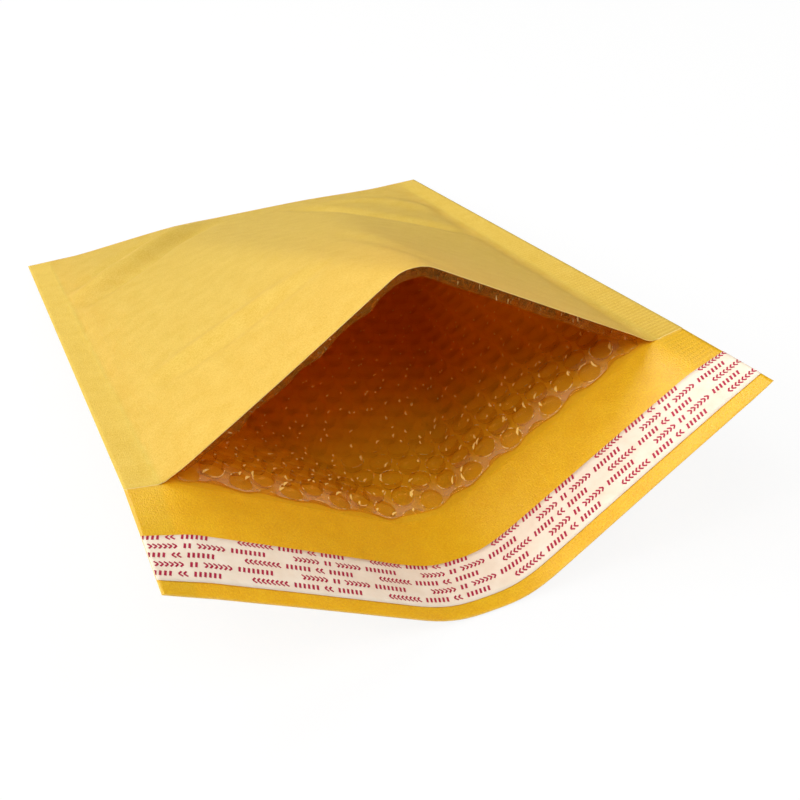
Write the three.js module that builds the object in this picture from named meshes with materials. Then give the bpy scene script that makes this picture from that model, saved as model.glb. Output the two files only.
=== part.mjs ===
// Padded envelope lying open on a table, in millimetres with +Z up.
// The folded end is towards +Y and the flap runs out of the mouth towards -Y.
import * as THREE from 'three';

// Flat pattern of the envelope
const WIDTH = 220; // across, from side edge to side edge
const DEPTH = 280; // pocket, from the mouth to the folded end
const FLAP = 50; // flap, from the mouth to its cut edge
const SEAM = 10; // sealed strip down each side
const PAPER = 0.2; // thickness of the paper
const FILM = 3.5; // thickness of the bubble film
const FILM_SETBACK = 2; // from the mouth in to the film's cut edge
const FILM_SIDE_INSET = 7; // from the side seams in to the film's edges
const FILM_END_INSET = 2; // from the folded end in to the film's fold
const FILM_SEAL = 7; // width over which the two film panels are pressed together
const CLEARANCE = 0.3; // gap between pieces that lie on each other

// Closing strip on the flap
const STRIP_WIDTH = 20; // release liner
const STRIP_MARGIN = 6; // from the flap's cut edge to the liner
const STRIP_THICKNESS = 0.12; // release liner
const GLUE_WIDTH = 14; // glue under the liner
const GLUE_THICKNESS = 0.12; // glue under the liner

// How the envelope stands open
const RIDGE_RISE = 46.5; // top of the upper lip above the side seams
const KEEL_DROP = 43.5; // lowest line of the lower lip below the side seams
const FOLD_OPENING = 1.8; // half opening that the padding keeps at the folded end
const FOLD_ROUND = 5; // length over which the folded end rounds up to that opening
const BASE_HOLLOW = 0.3; // how far the middle of the lower panel stands off the table
const RIDGE_OFFSET = 2.6; // ridge of the upper lip, to the right of the middle
const KEEL_OFFSET = -3.9; // keel of the lower lip, to the right of the middle
const TIP_OFFSET = -4.3; // keel of the flap's cut edge, to the right of the middle
const RIDGE_ROUND = 8; // length of the bend on each side of the ridge at the mouth
const KEEL_ROUND = 14.5; // length of the bend on each side of the keel at the mouth
const TIP_ROUND = 26.5; // length of the bend on each side of the flap's keel
const RIDGE_GROWTH = 36; // how much longer the ridge's bends are at the folded end
const CREASE_GROWTH = 12; // how much longer the keel's bends are at the folded end
const RIDGE_SPREAD = 0.75; // share of the width that still slopes up to the ridge at the folded end
const SEAM_BEND = 9; // length over which a panel leaves the seam
const SEAM_PUFF = 1; // how much steeper the padding makes a panel beside the seam
const SEAM_TILT = 0.16; // upward tilt of the seam strips at the mouth, radians
const TIP_LEFT_HEIGHT = 44.7; // left corner of the flap above the table
const TIP_RIGHT_HEIGHT = 51.5; // right corner of the flap above the table
const TIP_KEEL_HEIGHT = 0.5; // keel of the flap's cut edge above the table

// Fineness of the meshes
const INNER_COLUMNS = 32; // across the pocket, between the film's sealed edges
const POCKET_ROWS = 14; // along the pocket
const SAMPLE = 0.25; // step of the integration across a panel

// Sizes that follow from the ones above
const HALF = WIDTH / 2;
const POCKET_HALF = HALF - SEAM;
const MEAN_RISE = (RIDGE_RISE + KEEL_DROP) / 2;
const MOUTH_CHORD = 2 * Math.sqrt(POCKET_HALF ** 2 - MEAN_RISE ** 2);
const STRIP_END = FLAP - STRIP_MARGIN;
const STRIP_START = STRIP_END - STRIP_WIDTH;
const GLUE_START = STRIP_START + (STRIP_WIDTH - GLUE_WIDTH) / 2;
const GLUE_END = GLUE_START + GLUE_WIDTH;
const FILM_EDGE = POCKET_HALF - FILM_SIDE_INSET;
const FILM_POCKET = FILM_EDGE - FILM_SEAL;
const TABLE_PITCH = Math.asin((KEEL_DROP - FOLD_OPENING) / DEPTH);

const UPPER = {
  sign: 1,
  rise: RIDGE_RISE,
  offset: RIDGE_OFFSET,
  round: RIDGE_ROUND,
  growth: RIDGE_GROWTH,
  spread: RIDGE_SPREAD,
  hollow: 0,
};
const LOWER = {
  sign: -1,
  rise: KEEL_DROP,
  offset: KEEL_OFFSET,
  round: KEEL_ROUND,
  growth: CREASE_GROWTH,
  spread: 0,
  hollow: BASE_HOLLOW,
};

// Flat positions of the mesh columns, across the envelope
const seamColumns = [HALF, HALF - SEAM / 2, POCKET_HALF, POCKET_HALF - FILM_SIDE_INSET / 2];
const leftColumns = [...seamColumns, FILM_EDGE, FILM_EDGE - FILM_SEAL / 2].map((s) => -s);
const innerColumns = Array.from(
  { length: INNER_COLUMNS + 1 },
  (_, i) => FILM_POCKET * ((2 * i) / INNER_COLUMNS - 1),
);
const columns = [...leftColumns, ...innerColumns, ...leftColumns.map((s) => -s).reverse()];

// Flat positions of the mesh rows, from the folded end at DEPTH to the mouth at 0 and the flap's edge at -FLAP
const pocketStart = DEPTH - FOLD_ROUND;
const foldRows = [DEPTH, DEPTH - FILM_END_INSET, DEPTH - FOLD_ROUND / 2, DEPTH - (3 * FOLD_ROUND) / 4];
const innerRows = Array.from(
  { length: POCKET_ROWS + 1 },
  (_, j) => pocketStart + ((FILM_SETBACK - pocketStart) * j) / POCKET_ROWS,
);
const pocketRows = [...foldRows, ...innerRows, 0];
const flapRows = [STRIP_START / 2, STRIP_START, GLUE_START, GLUE_END, STRIP_END, FLAP].map((t) => -t);

const clamp = (value, low, high) => Math.min(Math.max(value, low), high);

function smoothstep(x) {
  const c = clamp(x, 0, 1);
  return c * c * (3 - 2 * c);
}

// Walks along a curve whose slope angle is known at each distance, and gives a lookup of the point reached.
function walk(length, angleAt) {
  const steps = Math.ceil(length / SAMPLE);
  const step = length / steps;
  const points = [new THREE.Vector2(0, 0)];
  for (let i = 0; i < steps; i++) {
    const angle = angleAt((i + 0.5) * step);
    points.push(points[i].clone().add(new THREE.Vector2(Math.cos(angle), Math.sin(angle)).multiplyScalar(step)));
  }
  return (distance) => {
    const place = clamp(distance / step, 0, steps);
    const before = Math.min(Math.floor(place), steps - 1);
    return points[before].clone().lerp(points[before + 1], place - before);
  };
}

// Half of a section: a flank that ends at the given height. The slope is settled by repeated correction.
function flank(length, height, shapeAt, leanAt) {
  const corrections = 12;
  const samples = Math.ceil(length / SAMPLE);
  const heights = Array.from({ length: samples }, (_, i) => shapeAt(((i + 0.5) * length) / samples));
  const sloping = (heights.reduce((sum, value) => sum + value, 0) * length) / samples;
  let slope = height / sloping;
  let curve;
  for (let i = 0; i < corrections; i++) {
    curve = walk(length, (d) => slope * shapeAt(d) - leanAt(d));
    slope += (height - curve(length).y) / sloping;
  }
  return curve;
}

// Half opening of a panel at flat position t, before the folded end rounds it off
const openingAt = (panel, t) => FOLD_OPENING + (panel.rise - FOLD_OPENING) * (1 - t / DEPTH);

// One row of a pocket panel: x across and z up, with the seam lines at z = 0.
function pocketSection(panel, t) {
  const toMouth = 1 - t / DEPTH;
  const opened = openingAt(panel, t) / panel.rise;
  const endShare = clamp((DEPTH - t) / FOLD_ROUND, 0, 1);
  const rounding = Math.sqrt(1 - (1 - endShare) ** 2);
  const level = clamp(t / pocketStart, 0, 1);
  const hollow = 4 * panel.hollow * level * (1 - level);
  const height = panel.sign * (openingAt(panel, t) * rounding - hollow);
  const tilt = SEAM_TILT * toMouth;
  const chord = 2 * POCKET_HALF - (2 * POCKET_HALF - MOUTH_CHORD) * toMouth;
  const half = (reach) => {
    const crease = reach * (opened + panel.spread * (1 - opened));
    const bend = Math.min(SEAM_BEND, crease / 2);
    const round = Math.min(panel.round + panel.growth * (1 - opened), 0.45 * crease);
    const puff = (d) => 1 + SEAM_PUFF * (1 - opened) * Math.exp(-d / SEAM_BEND);
    const shape = (d) => smoothstep(d / bend) * puff(d) * (1 - smoothstep((d - crease + round) / round));
    const lean = (d) => tilt * (1 - smoothstep(d / bend));
    return flank(reach, height, shape, lean);
  };
  const leftReach = POCKET_HALF + panel.offset;
  const rightReach = POCKET_HALF - panel.offset;
  const left = half(leftReach);
  const right = half(rightReach);
  const stretch = chord / (left(leftReach).x + right(rightReach).x);
  return columns.map((s) => {
    const beyond = Math.abs(s) - POCKET_HALF;
    if (beyond > 0) {
      return new THREE.Vector2(Math.sign(s) * (chord / 2 + beyond * Math.cos(tilt)), beyond * Math.sin(tilt));
    }
    const onLeft = s <= panel.offset;
    const point = onLeft ? left(s + POCKET_HALF) : right(POCKET_HALF - s);
    const x = onLeft ? point.x * stretch - chord / 2 : chord / 2 - point.x * stretch;
    return new THREE.Vector2(x, point.y);
  });
}

// The cut edge of the flap: a V with a round keel just above the table.
function tipSection() {
  const half = (reach, height) => {
    const shape = (d) => 1 - smoothstep((d - reach + TIP_ROUND) / TIP_ROUND);
    return flank(reach, TIP_KEEL_HEIGHT - height, shape, () => 0);
  };
  const leftReach = HALF + TIP_OFFSET;
  const rightReach = HALF - TIP_OFFSET;
  const left = half(leftReach, TIP_LEFT_HEIGHT);
  const right = half(rightReach, TIP_RIGHT_HEIGHT);
  const chord = left(leftReach).x + right(rightReach).x;
  return columns.map((s) => {
    const onLeft = s <= TIP_OFFSET;
    const point = onLeft ? left(s + HALF) : right(HALF - s);
    const height = onLeft ? TIP_LEFT_HEIGHT : TIP_RIGHT_HEIGHT;
    return new THREE.Vector2(onLeft ? point.x - chord / 2 : chord / 2 - point.x, point.y + height + PAPER);
  });
}

// Turns a point so that the flat of the lower panel lies level, one paper thickness above the table.
function layOnTable(x, y, z) {
  const up = z + openingAt(LOWER, pocketStart);
  const back = y + FOLD_ROUND;
  const cos = Math.cos(TABLE_PITCH);
  const sin = Math.sin(TABLE_PITCH);
  return new THREE.Vector3(x, back * cos + up * sin, PAPER + up * cos - back * sin);
}

// Rows of points of a pocket panel, each row as far from the last as it is on the flat sheet.
function pocketPanel(panel) {
  const sections = pocketRows.map((t) => pocketSection(panel, t));
  const reached = columns.map(() => 0);
  return sections.map((section, j) => {
    const step = j > 0 ? pocketRows[j - 1] - pocketRows[j] : 0;
    return section.map((point, i) => {
      if (j > 0) {
        const rounded = pocketRows[j] >= pocketStart;
        const across = rounded ? 0 : point.distanceTo(sections[j - 1][i]);
        reached[i] -= Math.sqrt(step ** 2 - across ** 2);
      }
      return layOnTable(point.x, reached[i], point.y);
    });
  });
}

// Rows of points of the flap, straight from the mouth to the cut edge.
function flapPanel(mouth) {
  const edge = tipSection().map((point, i) => {
    const across = new THREE.Vector2(point.x - mouth[i].x, point.y - mouth[i].z).length();
    return new THREE.Vector3(point.x, mouth[i].y - Math.sqrt(FLAP ** 2 - across ** 2), point.y);
  });
  return flapRows.map((t) => mouth.map((point, i) => point.clone().lerp(edge[i], -t / FLAP)));
}

// Upward normal at each point of a grid of rows and columns.
function gridNormals(grid) {
  const rowCount = grid.length;
  const columnCount = grid[0].length;
  return grid.map((row, j) =>
    row.map((_, i) => {
      const across = row[Math.min(i + 1, columnCount - 1)].clone().sub(row[Math.max(i - 1, 0)]);
      const along = grid[Math.max(j - 1, 0)][i].clone().sub(grid[Math.min(j + 1, rowCount - 1)][i]);
      return across.cross(along).normalize();
    }),
  );
}

// The grid moved along its normals, by a distance that may differ from point to point.
function raised(grid, distanceAt) {
  const normals = gridNormals(grid);
  return grid.map((row, j) => row.map((point, i) => point.clone().addScaledVector(normals[j][i], distanceAt(j, i))));
}

const cropped = (grid, firstRow, lastRow, firstColumn, lastColumn) =>
  grid.slice(firstRow, lastRow + 1).map((row) => row.slice(firstColumn, lastColumn + 1));

// Collects named grid points into one indexed mesh.
function meshBuilder(layers, layerOf) {
  const positions = [];
  const index = [];
  const known = new Map();
  const vertex = (layer, row, column) => {
    const source = layerOf(layer, row, column);
    const key = `${source} ${row} ${column}`;
    if (!known.has(key)) {
      known.set(key, positions.length / 3);
      positions.push(...layers[source][row][column].toArray());
    }
    return known.get(key);
  };
  const triangle = (...corners) => index.push(...corners.map((corner) => vertex(...corner)));
  const patch = (layer, rows, cols, facesUp) => {
    for (let j = rows[0]; j < rows[1]; j++) {
      for (let i = cols[0]; i < cols[1]; i++) {
        const corners = [[layer, j, i], [layer, j, i + 1], [layer, j + 1, i + 1], [layer, j + 1, i]];
        const ring = facesUp ? [corners[0], corners[3], corners[2], corners[1]] : corners;
        triangle(ring[0], ring[1], ring[2]);
        triangle(ring[0], ring[2], ring[3]);
      }
    }
  };
  // Wall between two layers along a path of grid positions, with the outside on the path's right
  const wall = (low, high, path) => {
    for (let k = 1; k < path.length; k++) {
      const [a, b] = [path[k - 1], path[k]];
      triangle([low, ...a], [low, ...b], [high, ...b]);
      triangle([low, ...a], [high, ...b], [high, ...a]);
    }
  };
  const geometry = () => {
    const result = new THREE.BufferGeometry();
    result.setAttribute('position', new THREE.Float32BufferAttribute(positions, 3));
    result.setIndex(index);
    result.computeVertexNormals();
    return result;
  };
  return { patch, wall, triangle, geometry };
}

const range = (from, to) => Array.from({ length: Math.abs(to - from) + 1 }, (_, k) => from + Math.sign(to - from) * k);

// A pouch: two panels sealed down both sides and at the folded end, open at the mouth, with any flap on the lower one.
function pouchGeometry({ lowerOut, lowerIn, upperIn, upperOut, sealColumns, sealRows }) {
  const layers = { lowerOut, lowerIn, upperIn, upperOut };
  const lastColumn = lowerOut[0].length - 1;
  const lastRow = lowerOut.length - 1;
  const mouthRow = upperOut.length - 1;
  const pocketColumns = [sealColumns, lastColumn - sealColumns];
  const sealed = (row, column) => row <= sealRows || column <= pocketColumns[0] || column >= pocketColumns[1];
  const builder = meshBuilder(layers, (layer, row, column) =>
    layer === 'upperIn' && sealed(row, column) ? 'lowerIn' : layer,
  );
  const allColumns = [0, lastColumn];
  builder.patch('lowerOut', [0, lastRow], allColumns, false);
  builder.patch('upperOut', [0, mouthRow], allColumns, true);
  builder.patch('lowerIn', [sealRows, mouthRow], pocketColumns, true);
  builder.patch('upperIn', [sealRows, mouthRow], pocketColumns, false);
  builder.patch('lowerIn', [mouthRow, lastRow], allColumns, true);

  const alongRow = (row, from, to) => range(from, to).map((column) => [row, column]);
  const alongColumn = (column, from, to) => range(from, to).map((row) => [row, column]);
  builder.wall('lowerOut', 'upperOut', alongRow(0, lastColumn, 0));
  builder.wall('lowerOut', 'lowerIn', alongRow(lastRow, 0, lastColumn));
  builder.wall('upperIn', 'upperOut', alongRow(mouthRow, 0, lastColumn));
  builder.wall('lowerOut', 'lowerIn', alongColumn(0, 0, lastRow));
  builder.wall('lowerIn', 'upperOut', alongColumn(0, 0, mouthRow));
  builder.wall('lowerOut', 'lowerIn', alongColumn(lastColumn, lastRow, 0));
  builder.wall('lowerIn', 'upperOut', alongColumn(lastColumn, mouthRow, 0));
  builder.triangle(['lowerOut', 0, 0], ['lowerIn', 0, 0], ['upperOut', 0, 0]);
  builder.triangle(['lowerOut', 0, lastColumn], ['upperOut', 0, lastColumn], ['lowerIn', 0, lastColumn]);
  return builder.geometry();
}

// A thin slab between two grids of the same size.
function slabGeometry(bottom, top) {
  const lastRow = bottom.length - 1;
  const lastColumn = bottom[0].length - 1;
  const builder = meshBuilder({ bottom, top }, (layer) => layer);
  builder.patch('bottom', [0, lastRow], [0, lastColumn], false);
  builder.patch('top', [0, lastRow], [0, lastColumn], true);
  const rim = [
    ...range(0, lastRow).map((row) => [row, 0]),
    ...range(1, lastColumn).map((column) => [lastRow, column]),
    ...range(lastRow - 1, 0).map((row) => [row, lastColumn]),
    ...range(lastColumn - 1, 0).map((column) => [0, column]),
  ];
  builder.wall('bottom', 'top', rim);
  return builder.geometry();
}

const upperPanel = pocketPanel(UPPER);
const lowerPocket = pocketPanel(LOWER);
const flap = flapPanel(lowerPocket.at(-1));
const lowerPanel = [...lowerPocket, ...flap];
const seamColumn = columns.indexOf(-POCKET_HALF);

// The folded sheet of paper, with both side seams sealed
function paperPouch() {
  const lowerOut = raised(lowerPanel, () => -PAPER);
  const upperOut = raised(upperPanel, () => PAPER);
  const crease = new THREE.Vector3(0, PAPER, 0);
  lowerOut[0].forEach((point) => point.add(crease));
  upperOut[0].forEach((point) => point.add(crease));
  return pouchGeometry({
    lowerOut,
    lowerIn: lowerPanel,
    upperIn: upperPanel,
    upperOut,
    sealColumns: seamColumn,
    sealRows: 0,
  });
}

// The folded sheet of bubble film that lines the pocket
function bubbleLiner() {
  const edge = columns.indexOf(-FILM_EDGE);
  const area = [1, pocketRows.length - 2, edge, columns.length - 1 - edge];
  const sealColumns = columns.indexOf(-FILM_POCKET) - edge;
  const sealRows = foldRows.length - 1;
  const middle = lowerPocket.map((row, j) => row.map((point, i) => point.clone().lerp(upperPanel[j][i], 0.5)));
  const room = (j, i) => lowerPocket[j][i].distanceTo(middle[j][i]) - CLEARANCE;
  const fullShare = 0.7;
  const thickness = (j, i) => Math.min(FILM, fullShare * room(j, i));
  const lining = (grid, direction, distanceAt) =>
    cropped(raised(grid, (j, i) => direction * distanceAt(j, i)), ...area);
  const toOuter = () => CLEARANCE;
  const toInner = (j, i) => CLEARANCE + thickness(j, i);
  const lowerIn = lining(lowerPocket, 1, toInner);
  const seam = cropped(middle, ...area);
  const lastColumn = seam[0].length - 1;
  lowerIn.forEach((row, j) =>
    row.forEach((point, i) => {
      const sealed = j <= sealRows - 1 || i <= sealColumns || i >= lastColumn - sealColumns;
      if (sealed) {
        point.copy(seam[j][i]);
      }
    }),
  );
  return pouchGeometry({
    lowerOut: lining(lowerPocket, 1, toOuter),
    lowerIn,
    upperIn: lining(upperPanel, -1, toInner),
    upperOut: lining(upperPanel, -1, toOuter),
    sealColumns,
    sealRows: sealRows - 1,
  });
}

// A strip across the whole flap between two flat positions, at a height above the paper
function flapStrip(start, end, height, thickness) {
  const firstRow = pocketRows.length + flapRows.indexOf(-start);
  const lastRow = pocketRows.length + flapRows.indexOf(-end);
  const area = [firstRow, lastRow, 0, columns.length - 1];
  const bottom = cropped(raised(lowerPanel, () => height), ...area);
  const top = cropped(raised(lowerPanel, () => height + thickness), ...area);
  return slabGeometry(bottom, top);
}

function addPiece(group, name, geometry, color, roughness) {
  const material = new THREE.MeshStandardMaterial({ color, roughness, metalness: 0 });
  const mesh = new THREE.Mesh(geometry, material);
  mesh.name = name;
  group.add(mesh);
}

const glueHeight = CLEARANCE;
const linerHeight = glueHeight + GLUE_THICKNESS + CLEARANCE;
const envelope = new THREE.Group();
addPiece(envelope, 'paper_pouch', paperPouch(), 0xe0ac48, 0.6);
addPiece(envelope, 'bubble_liner', bubbleLiner(), 0xd9c3a0, 0.2);
addPiece(envelope, 'glue_strip', flapStrip(GLUE_START, GLUE_END, glueHeight, GLUE_THICKNESS), 0xe6dcae, 0.3);
addPiece(envelope, 'release_liner', flapStrip(STRIP_START, STRIP_END, linerHeight, STRIP_THICKNESS), 0xf6e9d8, 0.5);

// The origin is on the table, under the middle of the envelope
const box = new THREE.Box3().setFromObject(envelope);
const centre = box.getCenter(new THREE.Vector3());
envelope.position.set(-centre.x, -centre.y, -box.min.z);

export default envelope;
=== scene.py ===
import math

import bpy
import numpy as np
from mathutils import Matrix, Vector


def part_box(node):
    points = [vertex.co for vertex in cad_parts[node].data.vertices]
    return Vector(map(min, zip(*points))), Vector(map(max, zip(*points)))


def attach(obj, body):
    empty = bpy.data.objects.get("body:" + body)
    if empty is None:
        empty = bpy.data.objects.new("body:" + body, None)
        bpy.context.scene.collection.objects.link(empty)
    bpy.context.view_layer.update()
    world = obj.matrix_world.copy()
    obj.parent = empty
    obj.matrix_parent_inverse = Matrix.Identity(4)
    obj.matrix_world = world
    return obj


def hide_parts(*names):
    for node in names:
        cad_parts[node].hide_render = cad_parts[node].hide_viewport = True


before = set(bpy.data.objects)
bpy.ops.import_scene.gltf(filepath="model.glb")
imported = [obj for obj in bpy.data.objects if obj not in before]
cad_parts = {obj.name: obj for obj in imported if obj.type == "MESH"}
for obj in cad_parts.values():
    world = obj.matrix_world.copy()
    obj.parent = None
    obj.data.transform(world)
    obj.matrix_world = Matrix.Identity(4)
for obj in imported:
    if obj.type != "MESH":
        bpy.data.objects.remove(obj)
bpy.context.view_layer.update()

# Flat pattern of the envelope, in millimetres, as the CAD source has it
WIDTH = 220.0
DEPTH = 280.0
FLAP = 50.0
SEAM = 10.0
PAPER = 0.2
FILM = 3.5
FILM_SETBACK = 2.0
FILM_SIDE_INSET = 7.0
FILM_END_INSET = 2.0
CLEARANCE = 0.3
STRIP_WIDTH = 20.0
STRIP_MARGIN = 6.0
STRIP_THICKNESS = 0.12
GLUE_WIDTH = 14.0
GLUE_THICKNESS = 0.12

# How the envelope stands open, as the CAD source has it
RIDGE_RISE = 46.5
KEEL_DROP = 43.5
FOLD_OPENING = 1.8
FOLD_ROUND = 5.0
BASE_HOLLOW = 0.3
RIDGE_OFFSET = 2.6
KEEL_OFFSET = -3.9
TIP_OFFSET = -4.3
RIDGE_ROUND = 8.0
KEEL_ROUND = 14.5
TIP_ROUND = 26.5
RIDGE_GROWTH = 36.0
CREASE_GROWTH = 12.0
RIDGE_SPREAD = 0.75
BOW_LIMIT = 0.45
SEAM_BEND = 9.0
SEAM_PUFF = 1.0
SEAM_TILT = 0.16
TIP_LEFT_HEIGHT = 44.7
TIP_RIGHT_HEIGHT = 51.5
TIP_KEEL_HEIGHT = 0.5

# Sizes that follow from the ones above
HALF = WIDTH / 2
POCKET_HALF = HALF - SEAM
MOUTH_CHORD = 2 * math.sqrt(POCKET_HALF**2 - ((RIDGE_RISE + KEEL_DROP) / 2) ** 2)
POCKET_START = DEPTH - FOLD_ROUND
TABLE_PITCH = math.asin((KEEL_DROP - FOLD_OPENING) / DEPTH)
FILM_EDGE = POCKET_HALF - FILM_SIDE_INSET
STRIP_END = FLAP - STRIP_MARGIN
STRIP_START = STRIP_END - STRIP_WIDTH
GLUE_START = STRIP_START + (STRIP_WIDTH - GLUE_WIDTH) / 2
GLUE_END = GLUE_START + GLUE_WIDTH

# The upper panel bends more tightly beside its seams than in the CAD source
LIP_BEND = 4.5

# Upper panel, a rounded ridge, and lower panel, which lies flat between two creases
UPPER = {
    "sign": 1,
    "rise": RIDGE_RISE,
    "offset": RIDGE_OFFSET,
    "round": RIDGE_ROUND,
    "growth": RIDGE_GROWTH,
    "spread": RIDGE_SPREAD,
    "bend": LIP_BEND,
    "hollow": 0.0,
}
LOWER = {
    "sign": -1,
    "rise": KEEL_DROP,
    "offset": KEEL_OFFSET,
    "round": KEEL_ROUND,
    "growth": CREASE_GROWTH,
    "spread": 0.0,
    "bend": SEAM_BEND,
    "hollow": BASE_HOLLOW,
}

# Step along a section in millimetres, passes that solve its slope, and general values
SAMPLE = 0.25
CORRECTIONS = 12
MM = 0.001
FAR = 1e9
NEARLY = 1e-9


def smoothstep(x):
    c = np.clip(x, 0.0, 1.0)
    return c * c * (3.0 - 2.0 * c)


def flank(length, height, shape, lean):
    """Half of a section that ends at the given height: distances along it, and x and z there."""
    count = math.ceil(length / SAMPLE)
    step = length / count
    middles = (np.arange(count) + 0.5) * step
    weights = shape(middles)
    leans = lean(middles)
    sloping = weights.sum() * step
    slope = height / sloping
    for _ in range(CORRECTIONS):
        reached = np.sin(slope * weights - leans).sum() * step
        slope += (height - reached) / sloping
    angles = slope * weights - leans
    x = np.concatenate([[0.0], np.cumsum(np.cos(angles)) * step])
    z = np.concatenate([[0.0], np.cumsum(np.sin(angles)) * step])
    return np.arange(count + 1) * step, x, z


def join_halves(columns, offset, half_width, left, right, chord):
    """Both halves of a section joined at its ridge or keel: x across and z up at each column."""
    left_d, left_x, left_z = left
    right_d, right_x, right_z = right
    stretch = chord / (left_x[-1] + right_x[-1])
    from_left = columns + half_width
    from_right = half_width - columns
    on_left = columns <= offset
    left_x = np.interp(from_left, left_d, left_x) * stretch - chord / 2
    right_x = chord / 2 - np.interp(from_right, right_d, right_x) * stretch
    left_z = np.interp(from_left, left_d, left_z)
    right_z = np.interp(from_right, right_d, right_z)
    return np.where(on_left, left_x, right_x), np.where(on_left, left_z, right_z)


def opening_at(panel, t):
    return FOLD_OPENING + (panel["rise"] - FOLD_OPENING) * (1 - t / DEPTH)


def pocket_section(panel, t, columns):
    """One row of a pocket panel: x across and z up, with the seam lines at z = 0."""
    to_mouth = 1 - t / DEPTH
    opened = opening_at(panel, t) / panel["rise"]
    end_share = min(max((DEPTH - t) / FOLD_ROUND, 0.0), 1.0)
    rounding = math.sqrt(1 - (1 - end_share) ** 2)
    level = min(max(t / POCKET_START, 0.0), 1.0)
    hollow = 4 * panel["hollow"] * level * (1 - level)
    height = panel["sign"] * (opening_at(panel, t) * rounding - hollow)
    tilt = SEAM_TILT * to_mouth
    chord = 2 * POCKET_HALF - (2 * POCKET_HALF - MOUTH_CHORD) * to_mouth

    def half(reach):
        crease = reach * (opened + panel["spread"] * (1 - opened))
        bend = min(panel["bend"], crease / 2)
        bow = min(panel["round"] + panel["growth"] * (1 - opened), BOW_LIMIT * crease)

        def shape(d):
            puff = 1 + SEAM_PUFF * (1 - opened) * np.exp(-d / SEAM_BEND)
            return smoothstep(d / bend) * puff * (1 - smoothstep((d - crease + bow) / bow))

        def lean(d):
            return tilt * (1 - smoothstep(d / bend))

        return flank(reach, height, shape, lean)

    left = half(POCKET_HALF + panel["offset"])
    right = half(POCKET_HALF - panel["offset"])
    x, z = join_halves(columns, panel["offset"], POCKET_HALF, left, right, chord)
    beyond = np.abs(columns) - POCKET_HALF
    outside = beyond > 0
    x = np.where(outside, np.sign(columns) * (chord / 2 + beyond * math.cos(tilt)), x)
    z = np.where(outside, beyond * math.sin(tilt), z)
    return x, z


def tip_section(columns):
    """The cut edge of the flap: x across and z above the table."""

    def half(reach, height):
        def shape(d):
            return 1 - smoothstep((d - reach + TIP_ROUND) / TIP_ROUND)

        d, x, z = flank(reach, TIP_KEEL_HEIGHT - height, shape, np.zeros_like)
        return d, x, z + height + PAPER

    left = half(HALF + TIP_OFFSET, TIP_LEFT_HEIGHT)
    right = half(HALF - TIP_OFFSET, TIP_RIGHT_HEIGHT)
    return join_halves(columns, TIP_OFFSET, HALF, left, right, left[1][-1] + right[1][-1])


def pocket_grid(panel, rows, columns):
    """Points of a pocket panel, with each row as far from the last as on the flat sheet."""
    sections = [pocket_section(panel, t, columns) for t in rows]
    y = np.zeros(len(columns))
    points = []
    for j, (x, z) in enumerate(sections):
        if j > 0:
            step = rows[j - 1] - rows[j]
            last_x, last_z = sections[j - 1]
            across = np.hypot(x - last_x, z - last_z)
            if rows[j] >= POCKET_START - NEARLY:
                across = np.zeros(len(columns))
            y = y - np.sqrt(step**2 - across**2)
        up = z + opening_at(LOWER, POCKET_START)
        back = y + FOLD_ROUND
        cos = math.cos(TABLE_PITCH)
        sin = math.sin(TABLE_PITCH)
        points.append(np.stack([x, back * cos + up * sin, PAPER + up * cos - back * sin], axis=-1))
    return np.array(points)


def flap_grid(mouth, rows, columns):
    """Points of the flap, straight from the mouth to the cut edge."""
    x, z = tip_section(columns)
    across = np.hypot(x - mouth[:, 0], z - mouth[:, 2])
    edge = np.stack([x, mouth[:, 1] - np.sqrt(FLAP**2 - across**2), z], axis=-1)
    return np.array([mouth + (edge - mouth) * (-t / FLAP) for t in rows])


def grid_normals(grid):
    across = np.gradient(grid, axis=1)
    along = -np.gradient(grid, axis=0)
    normals = np.cross(across, along)
    return normals / np.linalg.norm(normals, axis=-1, keepdims=True)


class Sheet:
    """A panel sampled on a fine grid, read at any flat position and distance from it."""

    def __init__(self, rows, columns, points):
        self.rows = rows
        self.columns = columns
        self.points = points
        self.normals = grid_normals(points)

    def blend(self, values, s, t):
        i = np.clip(np.searchsorted(self.columns, s) - 1, 0, len(self.columns) - 2)
        j = np.clip(np.searchsorted(-self.rows, -t) - 1, 0, len(self.rows) - 2)
        u = ((s - self.columns[i]) / (self.columns[i + 1] - self.columns[i]))[..., None]
        v = ((t - self.rows[j]) / (self.rows[j + 1] - self.rows[j]))[..., None]
        first = values[j, i] * (1 - u) + values[j, i + 1] * u
        second = values[j + 1, i] * (1 - u) + values[j + 1, i + 1] * u
        return first * (1 - v) + second * v

    def at(self, s, t, distance):
        s, t, distance = (np.asarray(value, float) for value in (s, t, distance))
        s, t, distance = np.broadcast_arrays(s, t, distance)
        normals = self.blend(self.normals, s, t)
        normals = normals / np.linalg.norm(normals, axis=-1, keepdims=True)
        return self.blend(self.points, s, t) + normals * distance[..., None]


# Soft folds of the upper panel: points along each on the flat sheet, half width and height
FOLDS = (
    (((-104, 180), (-60, 207), (-10, 262)), 6.0, -3.4),
    (((-107, 194), (-62, 225), (-12, 276)), 6.5, 3.0),
    (((-104, 209), (-66, 241), (-34, 264)), 5.0, -1.6),
    (((-92, 73), (-58, 69), (-12, 63)), 4.5, 1.3),
    (((-92, 64), (-55, 56), (-4, 53)), 5.0, -1.3),
    (((22, 262), (54, 192), (102, 146)), 6.0, -2.8),
    (((40, 256), (76, 238), (101, 196)), 7.0, 1.6),
    (((12, 124), (18.5, 53.5), (28, 10)), 5.0, -1.0),
    (((-96, 275), (-96.5, 150), (-96.5, -60)), 3.0, 0.9),
    (((96.5, 275), (96.5, 150), (96.5, -60)), 4.0, -0.8),
)

# Share of a fold's length over which each of its ends fades
FOLD_FADE = 0.3

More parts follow.
